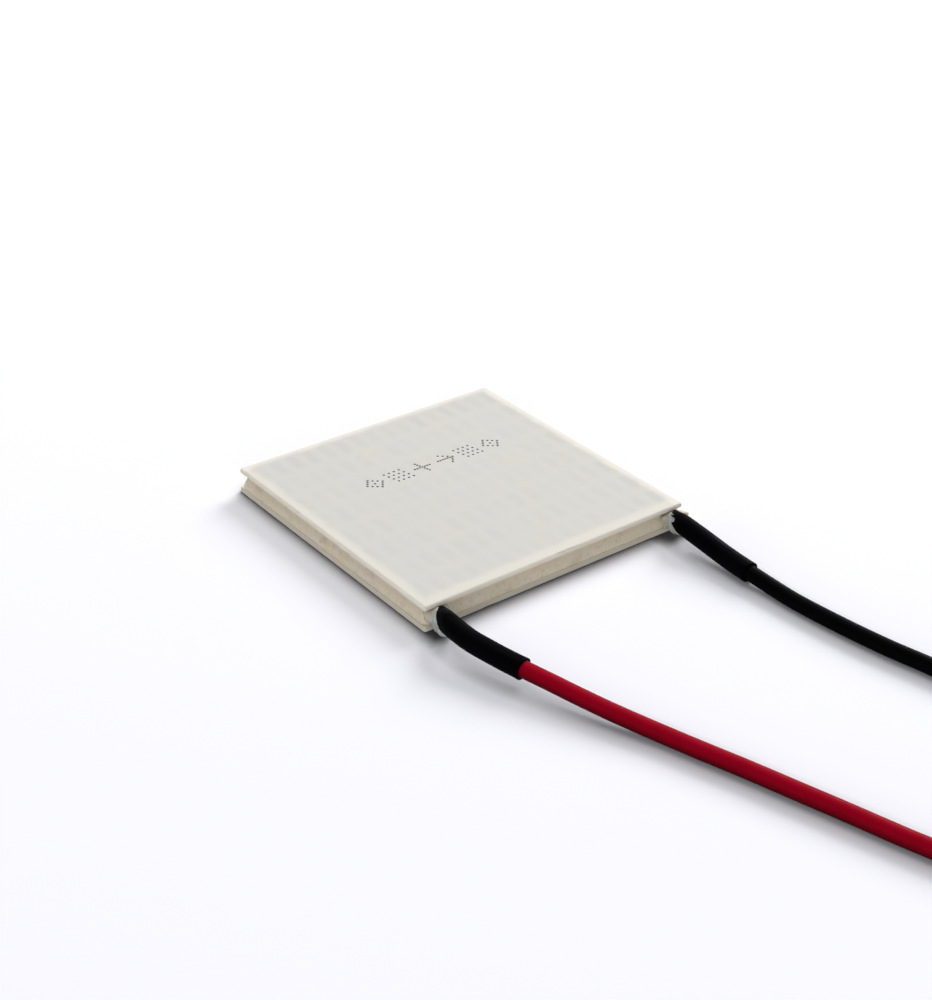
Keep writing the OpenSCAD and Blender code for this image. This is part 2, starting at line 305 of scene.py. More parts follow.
def make_ceramic(name, row_offset, painted_side_low, painted_side_high, low, high):
    """Fired white ceramic, with the tabs showing through. Its side shades from the first side
    colour at the height low to the second at the height high: painted light and shade."""
    material, s, surface, place = new_material(name, IOR=1.5, Specular_IOR_Level=0.15)
    tabs = place_group(s, TAB_SHADOWS, {"Place": place, "Row Offset": row_offset})
    cloud = place_group(s, CLOUDS, {
        "Place": place, "Colour": colour(0.682, 0.67, 0.632),
        "Blotch Colour": colour(0.715, 0.68, 0.625), "Blotch Size": 5 * MM, "Blotch Amount": 0.6,
        "Grain Size": 0.12 * MM, "Grain Amount": 0.05,
    })
    # Painted shade: the tabs show darker toward the far sides
    depth = s.math("MULTIPLY_ADD", tabs["Far Side"], 0.225, 0.3)
    shown = s.math("MULTIPLY", tabs["Tab"], depth)
    shaded = s.mix(shown, cloud["Colour"], colour(0.60, 0.585, 0.56))
    # Painted light: the rim is paler toward the far sides
    near_rim, painted_far_rim_light = colour(0.79, 0.745, 0.665), colour(0.87, 0.825, 0.735)
    rimmed = s.mix(tabs["Rim"], shaded, s.mix(tabs["Far Rim"], near_rim, painted_far_rim_light))

    # Painted light and shade: the side's colour changes from its foot to its top
    side = s.mix(s.ramp(s.split(place)["Z"], low, high, smooth=False), painted_side_low, painted_side_high)
    stain = s.math("MULTIPLY", cloud["Mask"], 0.25)
    stained = s.mix(stain, side, colour(0.70, 0.62, 0.47))
    s.put(surface["Base Color"], s.mix(tabs["Side"], rimmed, stained))
    s.put(surface["Roughness"], s.ramp(cloud["Mask"], 0.0, 1.0, 0.68, 0.8))
    pores = s.noise(place, 9000.0, 2.0, 0.7)
    s.put(surface["Normal"], bump(s, pores, 0.12, 0.01 * MM))
    return material


def make_sealant():
    """Beige sealant of the bead, stained and specked."""
    material, s, surface, place = new_material("beige_sealant", Specular_IOR_Level=0.45)
    cloud = place_group(s, CLOUDS, {
        "Place": place, "Colour": colour(0.78, 0.695, 0.56),
        "Blotch Colour": colour(0.77, 0.66, 0.46), "Blotch Size": 2.2 * MM, "Blotch Amount": 0.6,
        "Grain Size": 0.25 * MM, "Grain Amount": 0.22,
    })
    brown, grey = colour(0.62, 0.50, 0.37), colour(0.55, 0.50, 0.43)
    stain = s.ramp(s.noise(place, 380.0), 0.5, 0.7, 0.0, 0.55)
    speck = s.ramp(s.noise(place, 1700.0), 0.54, 0.7, 0.0, 0.4)
    s.put(surface["Base Color"], s.mix(speck, s.mix(stain, cloud["Colour"], brown), grey))
    s.put(surface["Roughness"], s.ramp(cloud["Mask"], 0.0, 1.0, 0.42, 0.6))
    s.put(surface["Normal"], bump(s, cloud["Height"], 0.5, 0.12 * MM))
    return material


def make_clear_sealant():
    """Glossy clear sealant, which has run into the beige one inside the gap."""
    material, s, surface, place = new_material(
        "clear_sealant", Roughness=0.14, IOR=1.41, Transmission_Weight=0.25, Coat_Weight=0.4,
        Coat_Roughness=0.06,
    )
    cloud = place_group(s, CLOUDS, {
        "Place": place, "Colour": colour(0.66, 0.68, 0.66),
        "Blotch Colour": colour(0.50, 0.54, 0.55), "Blotch Size": 1.1 * MM, "Blotch Amount": 0.8,
        "Grain Size": 0.3 * MM, "Grain Amount": 0.12,
    })
    stirred = s.math("MULTIPLY_ADD", s.noise(place, 1400.0), 1.2 * MM, s.split(place)["Y"])
    beige = s.ramp(stirred, -HALF_DEPTH - 0.1 * MM, -HALF_DEPTH + 0.6 * MM)
    s.put(surface["Base Color"], s.mix(beige, cloud["Colour"], colour(0.72, 0.65, 0.49)))
    s.put(surface["Normal"], bump(s, cloud["Height"], 0.35, 0.1 * MM))
    return material


def make_plastic(name, base, blotch, roughness, specular, wrinkle, painted_underside_share=1.0):
    """Soft plastic of a sleeve or of a lead's insulation. The last argument is the share of the
    colour
    that is left on the side that faces down: painted shade, darker as the surface turns downward."""
    material, s, surface, place = new_material(name, Specular_IOR_Level=specular)
    cloud = place_group(s, CLOUDS, {
        "Place": place, "Colour": base, "Blotch Colour": blotch, "Blotch Size": 2.5 * MM,
        "Blotch Amount": 0.6, "Grain Size": 0.15 * MM, "Grain Amount": 0.25,
    })
    # Painted shade: the colour darkens as the surface turns to face down, to the last argument's
    # share
    upward = s.split(s.node("ShaderNodeTexCoord").outputs["Normal"])["Z"]
    light = s.ramp(upward, -0.7, 0.85, painted_underside_share, 1.0, smooth=False)
    s.put(surface["Base Color"], s.mix(light, colour(0, 0, 0), cloud["Colour"]))
    s.put(surface["Roughness"], s.ramp(cloud["Mask"], 0.0, 1.0, roughness, roughness + 0.12))
    s.put(surface["Normal"], bump(s, cloud["Height"], wrinkle, 0.05 * MM))
    return material


def make_metal(name, base, tarnish, size, roughness, metallic=1.0):
    """Metal, or a pellet's semiconductor, with tarnish in blotches of the given size."""
    material, s, surface, place = new_material(name, Metallic=metallic)
    cloud = place_group(s, CLOUDS, {
        "Place": place, "Colour": base, "Blotch Colour": tarnish, "Blotch Size": size,
        "Blotch Amount": 0.8, "Grain Size": 0.08 * MM, "Grain Amount": 0.3,
    })
    s.put(surface["Base Color"], cloud["Colour"])
    s.put(surface["Roughness"], s.ramp(cloud["Mask"], 0.0, 1.0, roughness, roughness + 0.2))
    s.put(surface["Normal"], bump(s, cloud["Height"], 0.3, 0.02 * MM))
    return material


def make_ink():
    material, s, surface, place = new_material("print_ink")
    cloud = place_group(s, CLOUDS, {
        "Place": place, "Colour": colour(0.012, 0.012, 0.012),
        "Blotch Colour": colour(0.05, 0.05, 0.047), "Blotch Size": 0.9 * MM, "Blotch Amount": 0.8,
        "Grain Size": 0.05 * MM, "Grain Amount": 0.5,
    })
    s.put(surface["Base Color"], cloud["Colour"])
    s.put(surface["Roughness"], s.ramp(cloud["Mask"], 0.0, 1.0, 0.5, 0.8))
    return material


# Painted light and shade on the sides: the upper plate's side is paler toward its top and darker
# toward its foot, the lower plate's a little paler toward its foot
CERAMIC_HOT = make_ceramic(
    "white_ceramic_hot_side", 0.0, colour(0.80, 0.74, 0.64), colour(0.96, 0.91, 0.82),
    HOT_LOW.z, HOT_HIGH.z)
CERAMIC_COLD = make_ceramic(
    "white_ceramic_cold_side", 0.5, colour(0.72, 0.68, 0.60), colour(0.70, 0.64, 0.52),
    COLD_LOW.z, COLD_HIGH.z)
SEALANT = make_sealant()
CLEAR_SEALANT = make_clear_sealant()
SLEEVE_PLASTIC = make_plastic(
    "black_shrink_plastic", colour(0.001, 0.001, 0.0018), colour(0.0018, 0.0018, 0.0024),
    roughness=0.36, specular=0.01, wrinkle=0.25)
# The red lead's side that faces down is darkened by painted shade
RED_PLASTIC = make_plastic(
    "red_insulation", colour(0.345, 0.0, 0.014), colour(0.3, 0.0, 0.01),
    roughness=0.34, specular=0.02, wrinkle=0.08, painted_underside_share=0.08)
BLACK_PLASTIC = make_plastic(
    "black_insulation", colour(0.001, 0.001, 0.0014), colour(0.0018, 0.0018, 0.0022),
    roughness=0.34, specular=0.012, wrinkle=0.08)
TINNED = make_metal(
    "tinned_copper", colour(0.72, 0.72, 0.71), colour(0.5, 0.48, 0.45), 1 * MM, 0.25)
COPPER = make_metal(
    "copper", colour(0.78, 0.42, 0.28), colour(0.5, 0.25, 0.17), 3 * MM, 0.3)
SOLDER = make_metal(
    "solder", colour(0.62, 0.62, 0.63), colour(0.45, 0.45, 0.46), 0.8 * MM, 0.28)
P_PELLET = make_metal(
    "p_type_telluride", colour(0.33, 0.34, 0.36), colour(0.22, 0.22, 0.25), 0.7 * MM, 0.35, 0.8)
N_PELLET = make_metal(
    "n_type_telluride", colour(0.42, 0.43, 0.45), colour(0.28, 0.29, 0.31), 0.7 * MM, 0.35, 0.8)
INK = make_ink()


# ---------- Making pieces ----------


def add_piece(name, data, material, replaced=()):
    """Links a finished piece, and says what it rides on, replaces and takes its finish from."""
    piece = bpy.data.objects.new(name, data)
    bpy.context.scene.collection.objects.link(piece)
    piece.data.materials.append(material)
    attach(piece, "root")
    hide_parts(*replaced)
    return piece


def mesh_from(bm, name, smooth=True):
    """A finished mesh, with its faces turned outward."""
    bmesh.ops.recalc_face_normals(bm, faces=bm.faces[:])
    for face in bm.faces:
        face.smooth = smooth
    mesh = bpy.data.meshes.new(name)
    bm.to_mesh(mesh)
    bm.free()
    return mesh


# ---------- Leads ----------

RUN_IN = (13, 7.5, 0)  # a lead's last straight points before its coil, in millimetres
TURN_STEPS = 36
TIP_STEPS = 40
STRAND_RADIUS = 0.2 * MM
STRAND_TWISTS = 1.6


def exit_of(core):
    """Where a lead leaves the plates: the outer end of its strands."""
    low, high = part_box(core)
    return Vector(((low.x + high.x) / 2, low.y, (low.z + high.z) / 2))


def placed(route, start):
    """A route's points in their places, from the lead's exit on."""
    drop = start.z - WIRE_RADIUS
    return [
        Vector((start.x + x * MM, start.y + y * MM, WIRE_RADIUS + height * drop))
        for x, y, height in route
    ]


def smooth_line(points, steps=6):
    """A Catmull-Rom line through the points, with a few steps to each span."""
    ends = [points[0] * 2 - points[1], *points, points[-1] * 2 - points[-2]]
    line = []
    for before, start, end, after in zip(ends, ends[1:], ends[2:], ends[3:]):
        leave = (end - before) / ((end - start).length + (start - before).length)
        arrive = (after - start) / ((after - end).length + (end - start).length)
        span = (end - start).length
        for step in range(steps):
            t = step / steps
            line.append(
                start * (2 * t**3 - 3 * t**2 + 1) + end * (3 * t**2 - 2 * t**3)
                + leave * span * (t**3 - 2 * t**2 + t) + arrive * span * (t**3 - t**2)
            )
    return [*line, points[-1]]


def polar(centre, radius, angle):
    return centre + Vector((math.cos(angle), math.sin(angle), 0)) * radius


def spiral(centre, bearing, turns):
    """The stored turns of a lead, from the outermost inward."""
    count = round(turns * TURN_STEPS)
    return [
        polar(centre, COIL_RADIUS - TURN_PITCH * turns * i / count,
              bearing + math.tau * turns * i / count)
        for i in range(count + 1)
    ]


def lead_line(route, start, coil_at, bearing, turns):
    """The centreline of a lead, along its route, into its coil and round to its end, and the
    middle of the coil."""
    centre = Vector((start.x + coil_at[0] * MM, start.y + coil_at[1] * MM, WIRE_RADIUS))
    entry = polar(centre, COIL_RADIUS, bearing)
    back = Vector((math.sin(bearing), -math.cos(bearing), 0))
    straight = [entry + back * reach * MM for reach in RUN_IN]
    free = smooth_line([*placed(route, start), *straight])
    for place in free:
        place.z = max(place.z, WIRE_RADIUS)
    return [*free, *spiral(centre, bearing, turns)[1:]], centre


def round_curve(name, radius, resolution):
    """An empty curve, on which every line becomes a round wire with closed ends."""
    curve = bpy.data.curves.new(name, "CURVE")
    curve.dimensions = "3D"
    curve.bevel_depth = radius
    curve.bevel_resolution = resolution
    curve.use_fill_caps = True
    return curve


def add_line(curve, line):
    spline = curve.splines.new("POLY")
    spline.points.add(len(line) - 1)
    for point, place in zip(spline.points, line):
        point.co = (*place, 1)


def make_lead(name, line, material, replaced):
    curve = round_curve(name, WIRE_RADIUS, 6)
    add_line(curve, line)
    return add_piece(name, curve, material, replaced)


def make_tip(name, centre, bearing, turns, replaced):
    """The bare end of a lead: one strand in the middle and six twisted round it, tinned."""
    end_radius = COIL_RADIUS - TURN_PITCH * turns
    start = bearing + math.tau * turns
    curve = round_curve(name, STRAND_RADIUS, 3)
    for strand in range(7):
        reach = 2 * STRAND_RADIUS if strand else 0
        line = []
        for i in range(TIP_STEPS + 1):
            angle = start + TIP_LENGTH / end_radius * i / TIP_STEPS
            twist = math.tau * (strand / 6 + STRAND_TWISTS * i / TIP_STEPS)
            place = polar(centre, end_radius + reach * math.cos(twist), angle)
            line.append((place.x, place.y, place.z + reach * math.sin(twist)))
        add_line(curve, line)
    return add_piece(name, curve, TINNED, replaced)


# ---------- Sleeves ----------

SLEEVE_RADIUS = 1.33 * MM
SLEEVE_WALL = 0.3 * MM
SLEEVE_GAP = 0.2 * MM  # between the lead's exit and the mouth
SLEEVE_SIDES = 90
SLEEVE_STEP = 0.3 * MM  # between two rings of the sleeve
SLEEVE_SLANT = math.radians(32)
RED_MOUTH_LEAN = math.radians(40)
BLACK_MOUTH_LEAN = math.radians(25)
MOUTH_DEPTH = 1 * MM  # within which the ragged mouth fades into the plain sleeve
RAG_DEPTH = 0.1 * MM
# Notches torn in the mouth of the black lead's sleeve: the angle round the lead from its top, the
# half width as an angle, and the depth
BLACK_TEARS = [(0.5, 0.14, 1.1 * MM), (0.98, 0.3, 1.3 * MM)]


def station(line, i, radius):
    """A matrix that puts a unit circle round a line, across it."""
    along = (line[min(i + 1, len(line) - 1)] - line[max(i - 1, 0)]).normalized()
    side = along.cross(Vector((0, 0, 1))).normalized()
    up = side.cross(along)
    axes = Matrix((side, up, along)).transposed() * radius
    return Matrix.Translation(line[i]) @ axes.to_4x4()


def sweep(bm, line, radii, sides):
    """Extrudes a circle along a line."""
    matrix = station(line, 0, radii[0])
    made = bmesh.ops.create_circle(bm, segments=sides, radius=1, matrix=matrix)
    ring = list({edge for vert in made["verts"] for edge in vert.link_edges})
    for i in range(1, len(line)):
        following = station(line, i, radii[i])
        grown = bmesh.ops.extrude_edge_only(bm, edges=ring)["geom"]
        verts = [item for item in grown if isinstance(item, bmesh.types.BMVert)]
        bmesh.ops.transform(bm, matrix=following @ matrix.inverted(), verts=verts)
        ring = [e for e in grown if isinstance(e, bmesh.types.BMEdge) and e.is_boundary]
        ring = [e for e in ring if all(v in verts for v in e.verts)]
        matrix = following


def resampled(line, step):
    """Points along a line at equal steps."""
    out = [line[0]]
    left = step
    for start, end in zip(line, line[1:]):
        span = (end - start).length
        at = 0.0
        while span - at >= left:
            at += left
            out.append(start.lerp(end, at / span))
            left = step
        left -= span - at
    return out


def make_sleeve(name, line, start, lean, tears, seed, replaced):
    """A shrunk sleeve with a slightly ragged mouth, which slants along the lead and leans
    sideways."""
    path = resampled(line, SLEEVE_STEP)
    radii = []
    for i, place in enumerate(path):
        swell = noise.noise(place / (2.6 * MM) + Vector((seed, 0, 0)))
        to_end = (len(path) - 1 - i) * SLEEVE_STEP
        flare = math.exp(-((to_end / (0.5 * MM)) ** 2))
        radii.append(SLEEVE_RADIUS * (0.968 + 0.012 * swell + 0.016 * flare))
    bm = bmesh.new()
    sweep(bm, path, radii, SLEEVE_SIDES)
    for vert in bm.verts:
        wrinkle = noise.noise(Vector((vert.co.x, vert.co.y * 0.35, vert.co.z)) / (0.55 * MM))
        vert.co += vert.normal * wrinkle * 0.012 * MM
    mouth = Vector((start.x, start.y - SLEEVE_GAP, start.z + SLEEVE_RADIUS))
    level = math.cos(SLEEVE_SLANT)
    slant = Vector((level * math.sin(lean), -math.sin(SLEEVE_SLANT), level * math.cos(lean)))
    for kept_side in (slant, Vector((0, -1, 0))):
        bmesh.ops.bisect_plane(
            bm, geom=bm.verts[:] + bm.edges[:] + bm.faces[:], plane_co=mouth, plane_no=kept_side,
            clear_inner=True)
    for vert in bm.verts:
        from_plane = (vert.co - mouth).dot(slant)
        if from_plane > MOUTH_DEPTH:
            continue
        i = min(range(len(path)), key=lambda i: (path[i] - vert.co).length)
        axes = station(path, i, 1).to_3x3()
        away = axes.transposed() @ (vert.co - path[i])
        round_lead = math.atan2(away.x, away.y)
        rag = max(0.0, noise.noise(vert.co / (0.35 * MM) + Vector((0, seed, 0)))) * RAG_DEPTH
        for angle, half, depth in tears:
            rag += depth * min(1.0, max(0.0, 2 * (1 - abs(round_lead - angle) / half)))
        vert.co += axes.col[2] * rag * (1 - max(0.0, from_plane) / MOUTH_DEPTH)
    piece = add_piece(name, mesh_from(bm, name), SLEEVE_PLASTIC, replaced)
    wall = piece.modifiers.new("wall", "SOLIDIFY")
    wall.thickness = SLEEVE_WALL
    wall.offset = -1
    wall.use_even_offset = True
    rounding = piece.modifiers.new("rounded_rims", "BEVEL")
    rounding.width = 0.07 * MM
    rounding.segments = 2
    rounding.limit_method = "ANGLE"
    rounding.angle_limit = math.radians(50)
    return piece


# ---------- Dabs of sealant at the leads ----------

DAB_VOXEL = 0.1 * MM
FLOOR_CLEARANCE = 0.02 * MM

# The soft lumps of each dab: the centre from its start and the three radii, in millimetres
RED_LUMPS = [
    ((0, 0.4, 0), (1.6, 0.75, 0.98)), ((-0.1, -0.5, 0.1), (1.25, 0.9, 1.2)),
    ((-0.25, -1.4, 0.3), (1.25, 1.0, 1.25)), ((-0.6, -2.3, 0.72), (1.2, 1.0, 1.22)),
    ((-0.9, -3.3, 0.95), (1.18, 1.0, 1.18)), ((-1.02, -4.2, 1.1), (1.12, 0.9, 1.12)),
    ((-0.95, 0.0, 0.1), (0.75, 0.5, 0.85)), ((-1.25, 0.35, 0.55), (0.5, 0.5, 0.42)),
    ((1.1, 0.15, 0.3), (0.6, 0.5, 0.7)), ((-0.3, -1.2, -0.65), (1.05, 1.0, 1.0)),
    ((-0.55, -2.2, -0.4), (1.0, 1.0, 1.0)), ((-0.8, -3.2, 0.1), (0.95, 0.9, 0.9)),
]
BLACK_LUMPS = [
    ((0, 0.4, 0), (1.6, 0.75, 0.98)), ((-0.15, -0.5, 0.05), (1.25, 0.9, 1.2)),
    ((-0.4, -1.4, 0.35), (1.25, 1.0, 1.25)), ((-0.75, -2.4, 0.72), (1.22, 1.0, 1.22)),
    ((-0.88, -3.4, 0.8), (1.18, 1.0, 1.18)), ((-0.3, -1.3, -0.4), (1.1, 1.0, 0.9)),
    ((-0.6, -2.2, 0), (1.05, 1.0, 0.95)), ((-1.0, 0.0, 0.3), (0.6, 0.4, 0.6)),
    ((-0.9, -0.05, -0.8), (0.5, 0.35, 0.35)),
]
# Sealant that has squeezed out at the plates' corner beside the black lead
CORNER_LUMPS = [
    ((-0.7, 0.7, 0.1), (0.7, 0.7, 0.75)), ((-0.1, 0.0, 0.1), (0.6, 0.55, 0.4)),
    ((0.3, -0.45, 0.15), (0.42, 0.4, 0.3)),
]


def apply_modifiers(piece):
    """Replaces a piece's mesh by its finished form."""
    finished = bpy.data.meshes.new_from_object(
        piece.evaluated_get(bpy.context.evaluated_depsgraph_get()))
    piece.modifiers.clear()
    piece.data = finished


def make_dab(name, start, lumps, material, replaced=()):
    """Sealant whose lumps have run together."""
    bm = bmesh.new()
    for centre, radii in lumps:
        place = Matrix.Translation(start + Vector(centre) * MM)
        size = Matrix.Diagonal((*(radius * MM for radius in radii), 1))
        bmesh.ops.create_icosphere(bm, subdivisions=4, radius=1, matrix=place @ size)
    piece = add_piece(name, mesh_from(bm, name), material, replaced)
    remesh = piece.modifiers.new("run_together", "REMESH")
    remesh.mode = "VOXEL"
    remesh.voxel_size = DAB_VOXEL
    remesh.use_smooth_shade = True
    relax = piece.modifiers.new("relax", "SMOOTH")
    relax.factor = 0.8
    relax.iterations = 8
    apply_modifiers(piece)
    for vert in piece.data.vertices:
        lump = noise.noise(vert.co / (0.8 * MM)) * 0.07 + noise.noise(vert.co / (0.3 * MM)) * 0.025
        vert.co += vert.normal * lump * MM
        vert.co.z = max(vert.co.z, FLOOR_CLEARANCE)
    return piece


# ---------- Plates ----------

PLATE_CORNER = 0.3 * MM
HOT_EDGE = 0.26 * MM
COLD_EDGE = 0.05 * MM
RIM_CUTS = 160  # along a side of a plate, so that chips can be broken from it
RIM_DEPTH = 0.1 * MM  # the outermost part of a plate, which is chipped
CHIP_FROM = 0.42  # how high the broad noise rises before it breaks a chip off


def make_plate(name, low, high, material, edge, seed, replaced):
    """A snapped ceramic plate: rounded corners, broken edges and a few small chips."""
    bm = bmesh.new()
    size = high - low
    middle = (high + low) / 2
    matrix = Matrix.Translation(middle) @ Matrix.Diagonal((*size, 1))
    bmesh.ops.create_cube(bm, size=1, matrix=matrix)
    upright = [e for e in bm.edges if abs(e.verts[0].co.z - e.verts[1].co.z) > size.z / 2]
    bmesh.ops.bevel(bm, geom=upright, offset=PLATE_CORNER, offset_type="OFFSET", segments=4,
                    profile=0.5, affect="EDGES", material=-1)
    long_edges = [e for e in bm.edges if e.calc_length() > size.x / 2]
    bmesh.ops.subdivide_edges(bm, edges=long_edges, cuts=RIM_CUTS)
    flats = [f for f in bm.faces if abs(f.normal.z) > 0.9]
    rims = list({e for f in flats for e in f.edges})
    bmesh.ops.bevel(bm, geom=rims, offset=edge, offset_type="OFFSET", segments=4,
                    profile=0.5, affect="EDGES", material=-1)
    for vert in bm.verts:
        outward = Vector((vert.co.x - middle.x, vert.co.y - middle.y, 0))
        inset = min(size.x / 2 - abs(outward.x), size.y / 2 - abs(outward.y))
        if inset > RIM_DEPTH:
            continue
        fine = noise.noise(vert.co / (0.5 * MM) + Vector((seed, 0, 0)))
        broad = noise.noise(vert.co / (3.1 * MM) + Vector((0, seed, 0)))
        chip = max(0.0, broad - CHIP_FROM) * 0.5 + max(0.0, fine) * 0.03
        inward = Vector((
            -math.copysign(1, outward.x) if abs(outward.x) > size.x / 2 - PLATE_CORNER else 0,
            -math.copysign(1, outward.y) if abs(outward.y) > size.y / 2 - PLATE_CORNER else 0, 0))
        vert.co += inward * chip * MM * 0.5
    return add_piece(name, mesh_from(bm, name, smooth=False), material, replaced)


# ---------- Edge sealant ----------

SEAL_DEPTH = 0.95 * MM
SEAL_BACK = 0.9 * MM  # the depth from which the bead stays even
SEAL_CORNER = 1.2 * MM
SIDE_STEPS = 130
CORNER_STEPS = 6
NOTCH_HALF_WIDTH = 1.2 * MM
NOTCH_DEPTH = 1.1 * MM
# The bead's open face, which hollows in under the upper plate: the distance inward from the
# plates' edge in millimetres, and the height as a part of the gap
SEAL_FACE = [
    (0.02, 0.0), (0.05, 0.12), (0.11, 0.26), (0.21, 0.42), (0.36, 0.56), (0.56, 0.69),
    (0.70, 0.8), (0.72, 0.89), (0.64, 0.96), (0.5, 1.05),
]


def seal_profile():
    """The whole section of the bead: distance inward from the plates' edge, and height."""
    face = [(inward * MM, GAP_LOW + part * (GAP_HIGH - GAP_LOW)) for inward, part in SEAL_FACE]
    return [*face, (SEAL_DEPTH, GAP_HIGH), (SEAL_DEPTH, GAP_LOW)]


def make_edge_sealant():
    """The bead between the plates, spun round the corners and drawn along the sides."""
    bm = bmesh.new()
    reach = Vector((HALF_WIDTH, HALF_DEPTH))
    corner = SEAL_CORNER
    profile = [
        bm.verts.new((-reach.x + corner, -reach.y + inward, height))
        for inward, height in seal_profile()
    ]
    geometry = [bm.edges.new(pair) for pair in zip(profile, profile[1:] + profile[:1])]
    geometry += profile
    sides = [
        (Vector((1, 0, 0)), Vector((reach.x - corner, -reach.y + corner, 0))),
        (Vector((0, 1, 0)), Vector((reach.x - corner, reach.y - corner, 0))),
        (Vector((-1, 0, 0)), Vector((-reach.x + corner, reach.y - corner, 0))),
        (Vector((0, -1, 0)), Vector((-reach.x + corner, -reach.y + corner, 0))),
    ]
    for direction, centre in sides:
        run = (reach.x if direction.x else reach.y) * 2 - 2 * corner
        for angle, distance, count in ((0, run, SIDE_STEPS), (math.pi / 2, 0, CORNER_STEPS)):
            made = bmesh.ops.spin(
                bm, geom=geometry, cent=centre, axis=(0, 0, 1), dvec=direction * distance / count,
                angle=angle, space=Matrix.Identity(4), steps=count, use_merge=False,
                use_normal_flip=False, use_duplicate=False)
            geometry = made["geom_last"]
    bmesh.ops.remove_doubles(bm, verts=bm.verts[:], dist=0.002 * MM)
    for vert in bm.verts:
        inset = min(reach.x - abs(vert.co.x), reach.y - abs(vert.co.y))
        if inset > SEAL_BACK:
            continue
        # The bead is uneven in its open face and nearly straight where it meets the lower plate
        free = min(1.0, (vert.co.z - GAP_LOW) / (0.5 * MM)) * 0.8 + 0.2
        broad = noise.noise(vert.co / (3.4 * MM)) * 0.12 * free
        fine = noise.noise(vert.co / (0.7 * MM)) * 0.05 * free
        toward = Vector((
            vert.co.x if abs(vert.co.x) > reach.x - corner else 0,
            vert.co.y if abs(vert.co.y) > reach.y - corner else 0, 0)).normalized()
        vert.co += toward * min(broad + fine, inset / MM - 0.03) * MM
    return bm


def cut_notch(bm, x):
    """Clears the bead where a lead passes between the plates, and leaves its corner whole."""
    straight = HALF_WIDTH - SEAL_CORNER
    low = max(x - NOTCH_HALF_WIDTH, -straight)
    high = min(x + NOTCH_HALF_WIDTH, straight)
    margin = 2 * MM

    def near_lead(face):
        middle = face.calc_center_median()
        beside = low - margin < middle.x < high + margin
        return beside and middle.y < -HALF_DEPTH + NOTCH_DEPTH

    for cut in (low, high):
        near = [face for face in bm.faces if near_lead(face)]
        geometry = {item for face in near for item in [face, *face.edges, *face.verts]}
        bmesh.ops.bisect_plane(
            bm, geom=list(geometry), dist=0.001 * MM, plane_co=(cut, 0, 0), plane_no=(1, 0, 0))
    inside = [f for f in bm.faces if near_lead(f) and low < f.calc_center_median().x < high]
    bmesh.ops.delete(bm, geom=inside, context="FACES")
    bmesh.ops.holes_fill(bm, edges=[e for e in bm.edges if e.is_boundary], sides=0)


# ---------- Printed marks ----------

DOT_PITCH = 0.39 * MM
DOT_RADIUS = 0.17 * MM
MARK_DOTS = 7
MARK_STEP = 9.5  # from one mark to the next, in dots
MARK_SLOPE = 0.3  # by which each row of a mark is set off, in dots
MARKS_FROM = Vector((-9.8, 7.6)) * MM
INK_DEPTH = 0.012 * MM
INK_LIFT = 0.002 * MM
MIDDLE = MARK_DOTS // 2  # of the square of dots on which each mark is drawn


def in_diamond(column, row):
    return abs(column - MIDDLE) + abs(row - MIDDLE) in (0, MIDDLE)


def in_plus(column, row):
    return MIDDLE in (column, row)


def in_grid(column, row):
    return column % 2 == 0 and row % 2 == 0


def in_arrow(column, row):
    return row == MIDDLE or column == 2 * MIDDLE - abs(row - MIDDLE)


def make_marks():
    """A row of plain dotted shapes in ink, where such plates carry print."""
    shapes = [in_diamond, in_grid, in_plus, in_arrow, in_grid, in_diamond]
    squares = [(column, row) for column in range(MARK_DOTS) for row in range(MARK_DOTS)]
    bm = bmesh.new()
    for place, inked in enumerate(shapes):
        for column, row in squares:
            if not inked(column, row):
                continue
            x = MARKS_FROM.x + (place * MARK_STEP + column + row * MARK_SLOPE) * DOT_PITCH
            y = MARKS_FROM.y - row * DOT_PITCH
            bmesh.ops.create_cone(
                bm, cap_ends=True, segments=10, radius1=DOT_RADIUS, radius2=DOT_RADIUS * 0.9,
                depth=INK_DEPTH, matrix=Matrix.Translation((x, y, HOT_HIGH.z + INK_LIFT)))
    return add_piece("printed_dots", mesh_from(bm, "printed_dots", smooth=False), INK)


# ---------- Assembly ----------

RED_EXIT = exit_of("red_lead_core")
BLACK_EXIT = exit_of("black_lead_core")

red_line, red_centre = lead_line(RED_ROUTE, RED_EXIT, *RED_COIL)
black_line, black_centre = lead_line(BLACK_ROUTE, BLACK_EXIT, *BLACK_COIL)

red_wire = make_lead("red_lead_wire", red_line, RED_PLASTIC,
                     ("red_lead", "red_lead_coil"))
black_wire = make_lead("black_lead_wire", black_line, BLACK_PLASTIC,
                       ("black_lead", "black_lead_coil"))
red_tip = make_tip("red_lead_strands", red_centre, *RED_COIL[1:], ("red_lead_tip",))
black_tip = make_tip("black_lead_strands", black_centre, *BLACK_COIL[1:], ("black_lead_tip",))

red_sleeve = make_sleeve(
    "red_lead_shrunk_sleeve", smooth_line(placed(RED_ROUTE, RED_EXIT)[:SLEEVE_STOPS]),
    RED_EXIT, RED_MOUTH_LEAN, [], 3.0, ("red_lead_sleeve",))
black_sleeve = make_sleeve(
    "black_lead_shrunk_sleeve", smooth_line(placed(BLACK_ROUTE, BLACK_EXIT)[:SLEEVE_STOPS]),
    BLACK_EXIT, BLACK_MOUTH_LEAN, BLACK_TEARS, 8.0, ("black_lead_sleeve",))

red_dab = make_dab("red_lead_sealant", RED_EXIT, RED_LUMPS, CLEAR_SEALANT,
                   ("red_lead_seal",))
black_dab = make_dab("black_lead_sealant", BLACK_EXIT, BLACK_LUMPS, CLEAR_SEALANT,
                     ("black_lead_seal",))

